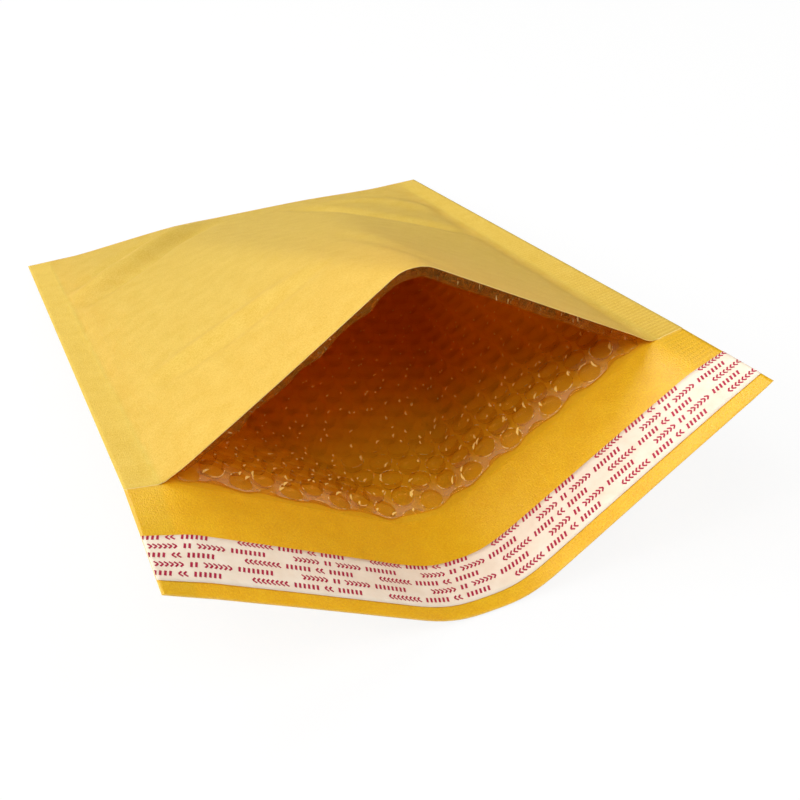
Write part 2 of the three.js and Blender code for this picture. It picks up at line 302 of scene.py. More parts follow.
# Padding at the closed end: highest a little left of the middle and flat at both corners
END_RISE = 3.2
END_PEAK = -32.0
END_LENGTH = 30.0

# Distance from the seams and the closed end over which folds and padding fade
RELIEF_FADE = 6.0


def fold_relief(s, t, points, width, height):
    """One soft fold along a line of flat points, fading out towards both ends."""
    lengths = [math.dist(a, b) for a, b in zip(points, points[1:])]
    total = sum(lengths)
    nearest = np.full(s.shape, FAR)
    place = np.zeros(s.shape)
    passed = 0.0
    for (s0, t0), (s1, t1), length in zip(points, points[1:], lengths):
        along = np.clip(((s - s0) * (s1 - s0) + (t - t0) * (t1 - t0)) / length, 0.0, length)
        off = np.hypot(s - s0 - along * (s1 - s0) / length, t - t0 - along * (t1 - t0) / length)
        closer = off < nearest
        nearest = np.where(closer, off, nearest)
        place = np.where(closer, (passed + along) / total, place)
        passed += length
    ends = smoothstep(place / FOLD_FADE) * smoothstep((1 - place) / FOLD_FADE)
    return height * ends * np.exp(-((nearest / width) ** 2))


def upper_relief(s, t):
    """How far the padding and its folds lift the upper panel."""
    relief = sum(fold_relief(s, t, *fold) for fold in FOLDS)
    rising = (POCKET_HALF + s) / (POCKET_HALF + END_PEAK)
    falling = (POCKET_HALF - s) / (POCKET_HALF - END_PEAK)
    tent = np.clip(np.minimum(rising, falling), 0.0, 1.0)
    relief = relief + END_RISE * tent * np.exp(-(DEPTH - t) / END_LENGTH)
    inside = smoothstep((POCKET_HALF - np.abs(s)) / RELIEF_FADE)
    return relief * inside * smoothstep((DEPTH - t) / RELIEF_FADE)


# Grid on which the panels are sampled
SHEET_STEP = 2.0
FOLD_SAMPLES = 9
SEAM_SAMPLES = 5
POCKET_SAMPLES = 101
FLAP_SAMPLES = 26

fold_turn = np.linspace(0, math.pi / 2, FOLD_SAMPLES)
fold_rows = DEPTH - FOLD_ROUND * (1 - np.cos(fold_turn))
straight_rows = np.linspace(POCKET_START, 0.0, round(POCKET_START / SHEET_STEP) + 1)
sheet_rows = np.concatenate([fold_rows, straight_rows[1:]])
sheet_columns = np.concatenate(
    [
        np.linspace(-HALF, -POCKET_HALF, SEAM_SAMPLES)[:-1],
        np.linspace(-POCKET_HALF, POCKET_HALF, POCKET_SAMPLES),
        np.linspace(POCKET_HALF, HALF, SEAM_SAMPLES)[1:],
    ]
)
flap_rows = -np.linspace(0.0, FLAP, FLAP_SAMPLES)[1:]

lower_pocket = pocket_grid(LOWER, sheet_rows, sheet_columns)
upper_pocket = pocket_grid(UPPER, sheet_rows, sheet_columns)
flap_points = flap_grid(lower_pocket[-1], flap_rows, sheet_columns)
lower_points = np.concatenate([lower_pocket, flap_points])
lower_rows = np.concatenate([sheet_rows, flap_rows])

# The same place as the CAD model, which is centred on its own box
cad_low, cad_high = (np.array(corner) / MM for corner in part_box("paper_pouch"))
plain = Sheet(lower_rows, sheet_columns, lower_points)
bottom = plain.at(sheet_columns[None, :], lower_rows[:, None], -PAPER)
to_fold = cad_high[1] - (lower_points[0, :, 1].max() + PAPER)
to_table = cad_low[2] - bottom[..., 2].min()
shift = np.array([0.0, to_fold, to_table])
lower_points = lower_points + shift
upper_pocket = upper_pocket + shift
lower_sheet = Sheet(lower_rows, sheet_columns, lower_points)
flat_upper = Sheet(sheet_rows, sheet_columns, upper_pocket)
relief = upper_relief(*np.meshgrid(sheet_columns, sheet_rows))
upper_sheet = Sheet(sheet_rows, sheet_columns, upper_pocket + flat_upper.normals * relief[..., None])


class Piece:
    """Collects grids of points and faces into one mesh."""

    def __init__(self):
        self.points = []
        self.flat = []
        self.faces = []
        self.kinds = []
        self.count = 0

    def add(self, points, s, t):
        """Adds points of any shape and returns their numbers in the same shape."""
        shape = points.shape[:-1]
        size = int(np.prod(shape))
        self.points.append(points.reshape(-1, 3))
        s, t = np.broadcast_arrays(np.asarray(s, float), np.asarray(t, float))
        flat = np.stack([np.broadcast_to(s, shape), np.broadcast_to(t, shape)], axis=-1)
        self.flat.append(flat.reshape(-1, 2))
        numbers = np.arange(self.count, self.count + size).reshape(shape)
        self.count += size
        return numbers

    def quads(self, a, b, c, d, kind=0):
        corners = np.stack([a, b, c, d], axis=-1).reshape(-1, 4)
        self.faces += corners.tolist()
        self.kinds += [kind] * len(corners)

    def triangles(self, a, b, c, kind=0):
        corners = np.stack(np.broadcast_arrays(a, b, c), axis=-1).reshape(-1, 3)
        self.faces += corners.tolist()
        self.kinds += [kind] * len(corners)

    def patch(self, grid, up, kind=0):
        """Faces over a grid of rows from the fold to the mouth and columns from left to right."""
        a, b, c, d = grid[:-1, :-1], grid[:-1, 1:], grid[1:, 1:], grid[1:, :-1]
        if up:
            self.quads(a, d, c, b, kind)
        else:
            self.quads(a, b, c, d, kind)

    def wall(self, low, high, kind=0):
        """Faces between two lines of points, with the outside on the right of the way along them."""
        self.quads(low[:-1], low[1:], high[1:], high[:-1], kind)

    def build(self, name, materials):
        mesh = bpy.data.meshes.new(name)
        points = np.concatenate(self.points) * MM
        mesh.from_pydata(points.tolist(), [], self.faces)
        flat = np.concatenate(self.flat) * MM
        layer = mesh.uv_layers.new(name="flat")
        corner = np.zeros(len(mesh.loops), dtype=np.int32)
        mesh.loops.foreach_get("vertex_index", corner)
        layer.data.foreach_set("uv", flat[corner].astype(np.float32).ravel())
        mesh.polygons.foreach_set("material_index", np.array(self.kinds, dtype=np.int32))
        mesh.polygons.foreach_set("use_smooth", np.ones(len(mesh.polygons), dtype=bool))
        for material in materials:
            mesh.materials.append(material)
        mesh.validate()
        mesh.update()
        piece = bpy.data.objects.new(name, mesh)
        bpy.context.scene.collection.objects.link(piece)
        return piece


# Ribs that the sealing jaws press into the side seams, most of them on the right one
ROW = 1.2
RIB_PITCH = 2 * ROW
RIB_HEIGHT = 0.2
RIB_MARGIN = 1.2
RIB_INNER = 1.5
RIB_INNER_FADE = 2.5
RIB_FADE = 2.0
RIB_REACH = 160.0
RIB_FAR_SHARE = 0.3
FLAP_RIB_SHARE = 0.85
FLAP_RIB_FADE = 4.0
LEFT_RIB_SHARE = 0.2
RIB_FOLD_GAP = 8.0
RIB_FOLD_FADE = 6.0

# Lattice of the film's bubbles
BUBBLE_PITCH = 10.5
BUBBLE_COLUMN = 9.1
BUBBLE_FIRST_S = 1.7
BUBBLE_FIRST_T = 7.1
BUBBLE_RADIUS = 4.2

# Cut edge of the film: distance from the mouth, swing round the bubbles, and small waves
EDGE_MEAN = 3.4
EDGE_SWING = 1.3
EDGE_WAVES = ((0.45, 2.9, 0.0), (0.35, 4.7, 1.0), (0.3, 1.7, 2.0))
EDGE_FADE = 5.0
EDGE_TAPER = 13.0
EDGE_LEFT = 0.14


def new_material(name):
    material = bpy.data.materials.new(name)
    material.use_nodes = True
    material.node_tree.nodes.clear()
    return material


class Nodes:
    """Short ways to add and join nodes of one material or world."""

    def __init__(self, owner):
        self.owner = owner
        self.tree = owner.node_tree

    def add(self, kind, values=None, **settings):
        node = self.tree.nodes.new(kind)
        for key, value in settings.items():
            setattr(node, key, value)
        for key, value in (values or {}).items():
            self.set(node.inputs[key], value)
        return node

    def set(self, socket, value):
        if isinstance(value, bpy.types.NodeSocket):
            self.tree.links.new(value, socket)
        else:
            socket.default_value = value

    def math(self, operation, first, second=0.0):
        return self.add("ShaderNodeMath", {0: first, 1: second}, operation=operation).outputs[0]

    def product(self, first, *others):
        for other in others:
            first = self.math("MULTIPLY", first, other)
        return first

    def length(self, first, second):
        squares = self.math("ADD", self.math("POWER", first, 2.0), self.math("POWER", second, 2.0))
        return self.math("SQRT", squares)

    def span(self, value, low, high, new_low=0.0, new_high=1.0):
        values = {"Value": value, "From Min": low, "From Max": high, "To Min": new_low, "To Max": new_high}
        return self.add("ShaderNodeMapRange", values).outputs[0]

    def scaled(self, vector, factors):
        values = {0: vector, 1: factors}
        return self.add("ShaderNodeVectorMath", values, operation="MULTIPLY").outputs[0]

    def noise(self, vector, scale, detail, roughness=0.5):
        values = {"Vector": vector, "Scale": scale, "Detail": detail, "Roughness": roughness}
        return self.add("ShaderNodeTexNoise", values).outputs["Fac"]

    def mix(self, factor, first, second):
        node = self.add("ShaderNodeMix", data_type="RGBA")
        self.set(node.inputs[0], factor)
        self.set(node.inputs[6], first)
        self.set(node.inputs[7], second)
        return node.outputs[2]

    def surface(self, values):
        return self.add("ShaderNodeBsdfPrincipled", values).outputs[0]

    def bump(self, height, strength, distance):
        values = {"Strength": strength, "Distance": distance, "Height": height}
        return self.add("ShaderNodeBump", values).outputs[0]

    def layer(self, factor, first, second):
        return self.add("ShaderNodeMixShader", {0: factor, 1: first, 2: second}).outputs[0]

    def flat(self):
        """Place on the flat sheet in metres."""
        return self.add("ShaderNodeUVMap", uv_map="flat").outputs[0]

    def parts(self, vector):
        return self.add("ShaderNodeSeparateXYZ", {0: vector}).outputs

    def output(self, shader):
        self.add("ShaderNodeOutputMaterial", {"Surface": shader})
        return self.owner


def colour(red, green, blue):
    """A colour written in screen values from 0 to 255, as shaders take it."""

    def linear(value):
        value = value / 255
        return value / 12.92 if value <= 0.04045 else ((value + 0.055) / 1.055) ** 2.4

    return (linear(red), linear(green), linear(blue), 1.0)


# Paper: noise per metre of sheet, the range of its values, and its shares in tone, relief and gloss
FIBRE_SCALE = (2200.0, 1100.0, 1.0)
CROSS_FIBRE_SCALE = (900.0, 2600.0, 1.0)
NOISE_RANGE = (0.3, 0.7)
GRAIN_RANGE = (0.4, 0.6)
CLOUD_TONES = (0.0, 0.3)
GRAIN_TONES = (0.05, 0.65)
GRAIN_BUMP = 0.88
CLOUD_BUMP = 0.12
PAPER_BUMP = 0.7
PAPER_BUMP_DEPTH = 0.0005
ROUGH_SPAN = 0.16

# Seams in the paper's tone: soft inner edge, tone of the seam, painted shade in the grooves between its
# ribs, and light that passes there
SEAM_SOFT_IN = 1.5
SEAM_SOFT_OUT = 0.5
SEAM_TONE = 0.25
GROOVE_SHADE_SHARE = 0.3
GROOVE_RANGE = (0.1, 0.4)
SEAM_PASSING = 0.25
MOUTH_LIT = 80.0


def painted_groove_shade(n, place, across, pressed):
    """Painted shade in the grooves between the ribs of the seams, as far as the ribs go."""
    wave = n.math("PINGPONG", n.math("DIVIDE", place[1], RIB_PITCH * MM), 0.5)
    groove = n.span(wave, *GROOVE_RANGE)
    off_edge = n.span(across, (HALF - RIB_MARGIN) * MM, HALF * MM, 1.0, 0.0)
    near_mouth = n.span(place[1], 0.0, RIB_REACH * MM, 1.0, RIB_FAR_SHARE)
    off_flap = n.span(place[1], -RIB_FADE * MM, 0.0, FLAP_RIB_SHARE, 1.0)
    off_strip = n.span(place[1], -(STRIP_START + RIB_FADE) * MM, -STRIP_START * MM)
    on_right = n.span(place[0], -MM, MM, LEFT_RIB_SHARE, 1.0)
    return n.product(pressed, off_edge, groove, near_mouth, off_flap, off_strip, on_right)


def paper_material(
    name, light, dark, seam, glow, through, through_mouth, sheen, sheen_tone, smooth, crumple
):
    """Fibrous paper: cloudy tone, fine fibres, a darker seam tone with painted shade in its rib grooves, and
    some light passing through.
    """
    n = Nodes(new_material(name))
    flat = n.flat()
    place = n.parts(flat)
    across = n.math("ABSOLUTE", place[0])
    clouds = n.noise(flat, scale=130.0, detail=2.0, roughness=0.6)
    fibres = n.noise(n.scaled(flat, FIBRE_SCALE), scale=1.0, detail=1.0, roughness=0.7)
    cross_fibres = n.noise(n.scaled(flat, CROSS_FIBRE_SCALE), scale=1.0, detail=1.0, roughness=0.7)
    grain = n.math("MULTIPLY", n.math("ADD", fibres, cross_fibres), 0.5)
    cloud_tone = n.span(clouds, *NOISE_RANGE, *CLOUD_TONES)
    grain_tone = n.span(grain, *GRAIN_RANGE, *GRAIN_TONES)
    base = n.mix(n.math("ADD", cloud_tone, grain_tone), dark, light)
    pressed = n.span(across, (POCKET_HALF - SEAM_SOFT_IN) * MM, (POCKET_HALF + SEAM_SOFT_OUT) * MM)
    # Painted shade in the grooves between the seam ribs, added to the seam's darker tone
    lines = painted_groove_shade(n, place, across, pressed)
    seam_tone_and_groove_shade = n.math("ADD", n.math("MULTIPLY", pressed, SEAM_TONE), n.math("MULTIPLY", lines, GROOVE_SHADE_SHARE))
    base = n.mix(seam_tone_and_groove_shade, base, seam)
    height = n.math("ADD", n.math("MULTIPLY", grain, GRAIN_BUMP), n.math("MULTIPLY", clouds, CLOUD_BUMP))
    if crumple > 0:
        lumps = n.noise(flat, scale=42.0, detail=1.0, roughness=0.45)
        height = n.math("ADD", height, n.math("MULTIPLY", lumps, crumple))
    front = n.surface(
        {
            "Base Color": base,
            "Roughness": n.span(grain, *NOISE_RANGE, smooth, smooth + ROUGH_SPAN),
            "Normal": n.bump(height, PAPER_BUMP, PAPER_BUMP_DEPTH),
            "Specular IOR Level": sheen,
            "Specular Tint": sheen_tone,
        }
    )
    behind = n.add("ShaderNodeBsdfTranslucent", {"Color": glow}).outputs[0]
    passing = n.span(place[1], 0.0, MOUTH_LIT * MM, through_mouth, through)
    passing = n.math("MULTIPLY", passing, n.span(pressed, 0.0, 1.0, 1.0, SEAM_PASSING))
    return n.output(n.layer(passing, front, behind))


# Film: tone of its gloss, mirror share seen head on, and where gloss, painted glare and painted highlights
# fade from the mouth
GLOSS_TONE = colour(255, 204, 122)
HEAD_ON = 0.04
CLOUDY_RANGE = (0.35, 0.65)
RIPPLE_DEPTH = 0.0008
SHOWN_FULL = 12.0
SHOWN_END = 46.0
EDGE_BAND_FULL = 6.0
EDGE_BAND = 15.0

# Painted light on the film: patches of painted glare between bubbles, and arcs of painted highlight round
# some of them
PAINTED_GLARE_TONE = colour(222, 172, 118)
ARC_HIGHLIGHT_TONE = colour(255, 214, 130)
ARC_SHARE = 1.9
ARC_CORE = 0.05
ARC_WIDTH = 0.3
ARC_RANGE = (0.54, 0.62)
PATCH_RANGE = (0.36, 0.56)
BETWEEN_START = BUBBLE_RADIUS - 0.4
BETWEEN_FULL = BUBBLE_RADIUS + 0.2
ON_BUBBLE_SHARE = 0.1


def painted_edge_light(n, flat, near, film, share):
    """Adds the painted glare and painted highlights along the cut edge to the film."""
    # Plain surfaces in the tones of a painted glare and a painted highlight
    painted_glare = n.surface({"Base Color": PAINTED_GLARE_TONE, "Roughness": 0.4, "Specular IOR Level": 0.2})
    painted_highlight = n.surface({"Base Color": ARC_HIGHLIGHT_TONE, "Roughness": 0.5, "Specular IOR Level": 0.1})
    place = n.parts(flat)
    column = n.math("PINGPONG", n.math("SUBTRACT", place[0], BUBBLE_FIRST_S * MM), BUBBLE_COLUMN * MM)
    row = n.math("PINGPONG", n.math("SUBTRACT", place[1], BUBBLE_FIRST_T * MM), BUBBLE_PITCH / 2 * MM)
    other_column = n.math("SUBTRACT", BUBBLE_COLUMN * MM, column)
    other_row = n.math("SUBTRACT", BUBBLE_PITCH / 2 * MM, row)
    away = n.math("MINIMUM", n.length(column, row), n.length(other_column, other_row))
    between = n.span(away, BETWEEN_START * MM, BETWEEN_FULL * MM, ON_BUBBLE_SHARE, 1.0)
    patchy = n.span(n.noise(flat, scale=110.0, detail=2.0), *PATCH_RANGE)
    band = n.span(place[1], EDGE_BAND_FULL * MM, EDGE_BAND * MM, share, 0.0)
    off_rim = n.math("ABSOLUTE", n.math("SUBTRACT", away, BUBBLE_RADIUS * MM))
    rim = n.span(off_rim, ARC_CORE * MM, ARC_WIDTH * MM, 1.0, 0.0)
    broken = n.span(n.noise(flat, scale=420.0, detail=2.0), *ARC_RANGE)
    # Painted glare between the bubbles near the edge, then arcs of painted highlight round them
    film = n.layer(n.product(band, between, patchy), film, painted_glare)
    return n.layer(n.product(rim, broken, near, ARC_SHARE * share), film, painted_highlight)


def film_material(name, tint, mouth_tint, gloss, mouth_gloss, roughest, ripple, marks):
    """Clear plastic film: what is behind it shows, with a gloss that is stronger near the mouth and, where
    marks is above nought, painted glare and highlights along the cut edge.
    """
    n = Nodes(new_material(name))
    flat = n.flat()
    place = n.parts(flat)
    near = n.span(place[1], SHOWN_FULL * MM, SHOWN_END * MM, 1.0, 0.0)
    shade = tint if tint == mouth_tint else n.mix(near, tint, mouth_tint)
    clear = n.add("ShaderNodeBsdfTransparent", {"Color": shade}).outputs[0]
    cloudy = n.noise(flat, scale=90.0, detail=2.0)
    rough = n.span(cloudy, *CLOUDY_RANGE, roughest / 2, roughest)
    values = {"Base Color": GLOSS_TONE, "Metallic": 1.0, "Roughness": rough}
    weight = {}
    if ripple > 0:
        ripples = n.noise(flat, scale=260.0, detail=1.0, roughness=0.62)
        bump = n.bump(ripples, ripple, RIPPLE_DEPTH)
        values["Normal"] = bump
        weight["Normal"] = bump
    facing = n.add("ShaderNodeLayerWeight", weight).outputs["Facing"]
    mirror = n.span(n.math("POWER", facing, 5.0), 0.0, 1.0, HEAD_ON, 1.0)
    shine = n.math("MULTIPLY", mirror, n.span(near, 0.0, 1.0, gloss, mouth_gloss))
    film = n.layer(shine, clear, n.surface(values))
    if marks > 0:
        film = painted_edge_light(n, flat, near, film, marks)
    return n.output(film)


# Cut edge of the film: stretch of its streaks of painted highlight, where they start, and tones
STREAK_SCALE = (900.0, 260.0, 0.0)
STREAK_RANGE = (0.6, 0.7)
STREAK_HIGHLIGHT_TONE = colour(255, 226, 160)
CUT_TINT = colour(255, 240, 210)


def film_cut_material(name, tone, share, streak_share):
    """Cut edge of the film or a glint on it, partly clear: a tone of painted shade or painted highlight,
    with streaks of painted highlight.
    """
    n = Nodes(new_material(name))
    flat = n.flat()
    streaks = n.noise(n.scaled(flat, STREAK_SCALE), scale=1.0, detail=4.0, roughness=0.6)
    painted_highlight = n.span(streaks, *STREAK_RANGE)
    base = n.mix(painted_highlight, tone, STREAK_HIGHLIGHT_TONE)
    clear = n.add("ShaderNodeBsdfTransparent", {"Color": CUT_TINT}).outputs[0]
    body = n.surface({"Base Color": base, "Roughness": 0.5, "Specular IOR Level": 0.15})
    seen = n.math("ADD", n.math("MULTIPLY", painted_highlight, streak_share), share)
    return n.output(n.layer(seen, clear, body))


# Coated paper, ink and glue: relief, and how far the roughness varies
COAT_BUMP = 0.2
COAT_BUMP_DEPTH = 0.0002
COAT_ROUGH_SPAN = 0.06


def coated_material(name, light, dark, roughness, sheen, scale):
    """Smooth coated paper, ink or glue with a faint cloudy tone."""
    n = Nodes(new_material(name))
    flat = n.flat()
    clouds = n.noise(flat, scale, detail=4.0, roughness=0.6)
    base = n.mix(n.span(clouds, *NOISE_RANGE), dark, light)
    rough = n.span(clouds, *NOISE_RANGE, roughness - COAT_ROUGH_SPAN, roughness + COAT_ROUGH_SPAN)
    bump = n.bump(clouds, COAT_BUMP, COAT_BUMP_DEPTH)
    values = {"Base Color": base, "Roughness": rough, "Normal": bump, "Specular IOR Level": sheen}
    return n.output(n.surface(values))


# The materials, with tones as they show under the lamps
paper_outside = paper_material(
    "paper_outside",
    light=colour(250, 224, 116),
    dark=colour(224, 190, 70),
    seam=colour(206, 152, 56),
    glow=colour(255, 188, 44),
    through=0.3,
    through_mouth=0.3,
    sheen=0.18,
    sheen_tone=colour(255, 232, 186),
    smooth=0.5,
    crumple=1.5,
)
paper_inside = paper_material(
    "paper_inside",
    light=colour(244, 198, 46),
    dark=colour(230, 176, 22),
    seam=colour(206, 152, 28),
    glow=colour(255, 188, 32),
    through=0.6,
    through_mouth=0.15,
    sheen=0.2,
    sheen_tone=colour(255, 232, 186),
    smooth=0.5,
    crumple=1.0,
)
paper_flap = paper_material(
    "paper_flap",
    light=colour(255, 210, 32),
    dark=colour(234, 172, 0),
    seam=colour(206, 152, 14),
    glow=colour(255, 180, 20),
    through=0.15,
    through_mouth=0.15,
    sheen=1.0,
    sheen_tone=colour(255, 250, 240),
    smooth=0.34,
    crumple=3.0,
)
paper_cut = paper_material(
    "paper_cut",
    light=colour(250, 228, 156),
    dark=colour(240, 212, 126),
    seam=colour(240, 206, 120),
    glow=colour(250, 190, 90),
    through=0.1,
    through_mouth=0.1,
    sheen=0.2,
    sheen_tone=colour(255, 232, 186),
    smooth=0.5,
    crumple=0.0,
)
FILM_TINT = colour(255, 249, 234)
SHEET_FINISH = {"gloss": 0.5, "mouth_gloss": 0.6, "roughest": 0.12, "ripple": 0.45}
BUBBLE_FINISH = {"gloss": 0.12, "mouth_gloss": 0.9, "roughest": 0.24, "ripple": 0.0, "marks": 0.0}
film_lower = film_material("film_lower", FILM_TINT, FILM_TINT, marks=0.5, **SHEET_FINISH)
film_upper = film_material("film_upper", FILM_TINT, FILM_TINT, marks=0.0, **SHEET_FINISH)
bubble_clear = film_material(
    "bubble_clear", tint=colour(255, 254, 250), mouth_tint=colour(255, 252, 246), **BUBBLE_FINISH
)
# Near the mouth the bubble walls take a darker tint: painted shade outlining the bubbles where light reaches
# the film
bubble_wall = film_material(
    "bubble_wall", tint=colour(254, 250, 241), mouth_tint=colour(247, 228, 192), **BUBBLE_FINISH
)
# The brown tones on the film's cut edges are painted shade
film_cut_lower = film_cut_material("film_cut_lower", tone=colour(176, 124, 62), share=0.08, streak_share=0.1)
film_cut_upper = film_cut_material("film_cut_upper", tone=colour(196, 122, 30), share=0.3, streak_share=0.35)
# Painted highlight: the pale tone of the glints on the film's creases
painted_glint = film_cut_material("painted_glint", tone=colour(255, 216, 118), share=1.0, streak_share=0.0)
liner_paper = coated_material(
    "liner_paper", colour(246, 233, 214), colour(237, 219, 196), roughness=0.55, sheen=0.05, scale=160.0
)
liner_ink = coated_material(
    "liner_ink", colour(184, 40, 74), colour(168, 26, 58), roughness=0.5, sheen=0.3, scale=900.0
)
glue_amber = coated_material(
    "glue_amber", colour(240, 226, 180), colour(228, 206, 140), roughness=0.25, sheen=0.5, scale=220.0
)

# Paper: two panels sealed down both sides, with the flap on the lower one
OUTSIDE, INSIDE, CUT, FLAP_TOP = range(4)

# Lines of points in the paper: across each seam from its edge, over the pocket, and near the closed end
SEAM_LINES = np.array([0.0, 1.2, 3.4, 6.0, 8.4])
POCKET_LINES = 77
FOLD_LINES = np.array([0.0, 0.2, 0.8, 1.8, 3.2, 5.0, 7.0])
SEAM_CELLS = len(SEAM_LINES)

pocket_columns = np.linspace(-POCKET_HALF, POCKET_HALF, POCKET_LINES)
paper_columns = np.concatenate([SEAM_LINES - HALF, pocket_columns, HALF - SEAM_LINES[::-1]])
first_row = math.floor((DEPTH - FOLD_LINES[-1]) / ROW) - 1
paper_rows = np.concatenate([DEPTH - FOLD_LINES, np.arange(first_row, -1, -1) * ROW])
paper_flap_rows = np.concatenate([-np.arange(1, math.floor(FLAP / ROW) + 1) * ROW, [-FLAP]])


def ribs(s, t):
    """Height of the ribs that the sealing jaws press into the side seams."""
    wave = 4 * np.abs((t / RIB_PITCH) % 1.0 - 0.5) - 1
    from_edge = HALF - np.abs(s)
    off_pocket = 1 - smoothstep((from_edge - SEAM + RIB_INNER) / RIB_INNER_FADE)
    band = smoothstep(from_edge / RIB_MARGIN) * off_pocket
    on_flap = smoothstep(-t / FLAP_RIB_FADE)
    off_strip = smoothstep((t + STRIP_START + RIB_FADE) / RIB_FADE)
    share = (1 - on_flap) + on_flap * FLAP_RIB_SHARE * off_strip
    share = share * np.where(s > 0, 1.0, LEFT_RIB_SHARE)
    return RIB_HEIGHT * wave * band * share * smoothstep((DEPTH - RIB_FOLD_GAP - t) / RIB_FOLD_FADE)


def add_face(piece, sheet, rows, distance, back):
    """Adds one face of the paper, its first row moved back to go round the fold."""
    s = paper_columns[None, :]
    t = rows[:, None]
    points = sheet.at(s, t, ribs(s, t) + distance)
    points[0, :, 1] += back
    return piece.add(points, s, t)


def build_paper():
    piece = Piece()
    all_rows = np.concatenate([paper_rows, paper_flap_rows])
    lower_out = add_face(piece, lower_sheet, all_rows, -PAPER, PAPER)
    lower_in = add_face(piece, lower_sheet, all_rows, 0.0, 0.0)
    upper_out = add_face(piece, upper_sheet, paper_rows, PAPER, PAPER)
    upper_in = add_face(piece, upper_sheet, paper_rows, 0.0, 0.0)
    last = len(paper_columns) - 1
    seams = slice(SEAM_CELLS, last - SEAM_CELLS + 1)
    mouth = len(paper_rows) - 1
    upper_in[0] = lower_in[0]
    upper_in[:, : SEAM_CELLS + 1] = lower_in[: mouth + 1, : SEAM_CELLS + 1]
    upper_in[:, last - SEAM_CELLS :] = lower_in[: mouth + 1, last - SEAM_CELLS :]
    piece.patch(lower_out, False, OUTSIDE)
    piece.patch(upper_out, True, OUTSIDE)
    piece.patch(lower_in[: mouth + 1, seams], True, INSIDE)
    piece.patch(upper_in[:, seams], False, INSIDE)
    piece.patch(lower_in[mouth:], True, FLAP_TOP)
    piece.wall(lower_out[0, ::-1], upper_out[0, ::-1], OUTSIDE)
    piece.wall(lower_out[-1], lower_in[-1], CUT)
    piece.wall(upper_in[-1], upper_out[-1], CUT)
    piece.wall(lower_out[:, 0], lower_in[:, 0], CUT)
    piece.wall(lower_in[: mouth + 1, 0], upper_out[:, 0], CUT)
    piece.wall(lower_out[::-1, last], lower_in[::-1, last], CUT)
    piece.wall(lower_in[: mouth + 1, last][::-1], upper_out[::-1, last], CUT)
    piece.triangles(lower_out[0, 0], lower_in[0, 0], upper_out[0, 0], CUT)
    piece.triangles(lower_out[0, last], upper_out[0, last], lower_in[0, last], CUT)
    return piece.build("paper", [paper_outside, paper_inside, paper_cut, paper_flap])


# Bubble film: a smooth sheet towards the pocket, with air bubbles between it and the paper
LOWER_FILM, UPPER_FILM, LOWER_CUT, UPPER_CUT = range(4)
BUBBLE_TOP, BUBBLE_WALL, GLINT = range(3)
FILM_PANELS = ((lower_sheet, 1), (upper_sheet, -1))
SHEET_CELL = 1.25
FILM_ROOM_SHARE = 0.7
FILM_LEAST = 0.05
DOME = 0.1
GROOVE = 0.12
GROOVE_WIDTH = 0.16
SWELL_START = 0.6
SWELL_FULL = 1.5
CUT_SLANT = 0.4

# Bubbles: corners, rings as shares of radius and depth, and how much place and radius vary
BUBBLE_SEGMENTS = 16
BUBBLE_RINGS = ((1.0, 0.0), (0.98, 0.45), (0.88, 0.82), (0.6, 0.97))
BUBBLE_JITTER = 0.12
BUBBLE_SPREAD = 0.025

# Painted glints, pale strips just off the film that stand in for highlights on its creases: how many, how
# near the mouth, and their size in millimetres and shares
GLINTS_EACH = 2
GLINT_SHARE = 0.85
GLINT_REACH = 120.0
GLINT_LENGTH = 4.0
GLINT_WIDTH = 0.8
GLINT_LIFT = 0.25
GLINT_SHORTEST = 0.35
GLINT_NARROWEST = 0.75
GLINT_FIRST_TURN = 35.0
GLINT_TURN_SPAN = 55.0
GLINT_RING = 0.85
GLINT_BOW = 0.12
GLINT_POINTS = 5
GLINT_END = 0.04
GLINT_EDGE_GAP = 0.5
GLINT_SIDE_GAP = 2.0
SEED = 7
rng = np.random.default_rng(SEED)


def film_edge(s):
    """Flat position of the film's cut edge, which swings round the bubbles and is a little ragged."""
    ragged = sum(height * np.sin(s / length + phase) for height, length, phase in EDGE_WAVES)
    return EDGE_MEAN - EDGE_SWING * np.cos(math.pi * (s - BUBBLE_FIRST_S) / BUBBLE_COLUMN) + ragged


def film_thickness(s, t):
    """Room the padding takes: its full thickness, or less where the panels come together."""
    apart = upper_sheet.at(s, t, 0.0) - lower_sheet.at(s, t, 0.0)
    room = np.linalg.norm(apart, axis=-1) / 2 - CLEARANCE
    return np.maximum(np.minimum(FILM, FILM_ROOM_SHARE * room), FILM_LEAST)


def edge_share(sheet, s, t):
    """How much of its thickness the film keeps near the cut edge, where the lower one lies flat."""
    if sheet is upper_sheet:
        return np.ones(np.shape(t))
    return EDGE_LEFT + (1 - EDGE_LEFT) * smoothstep((t - film_edge(s)) / EDGE_TAPER)


def bubble_centres():
    centres = []
    reach = int(FILM_EDGE / BUBBLE_COLUMN) + 1
    for i in range(-reach, reach + 1):
        s = BUBBLE_FIRST_S + BUBBLE_COLUMN * i
        if abs(s) > FILM_EDGE - BUBBLE_RADIUS:
            continue
        start = BUBBLE_FIRST_T if i % 2 == 0 else BUBBLE_FIRST_T - BUBBLE_PITCH / 2
        count = int((DEPTH - FILM_END_INSET - BUBBLE_RADIUS - start) / BUBBLE_PITCH) + 1
        for j in range(count):
            centres.append((s, start + BUBBLE_PITCH * j))
    return np.array(centres)


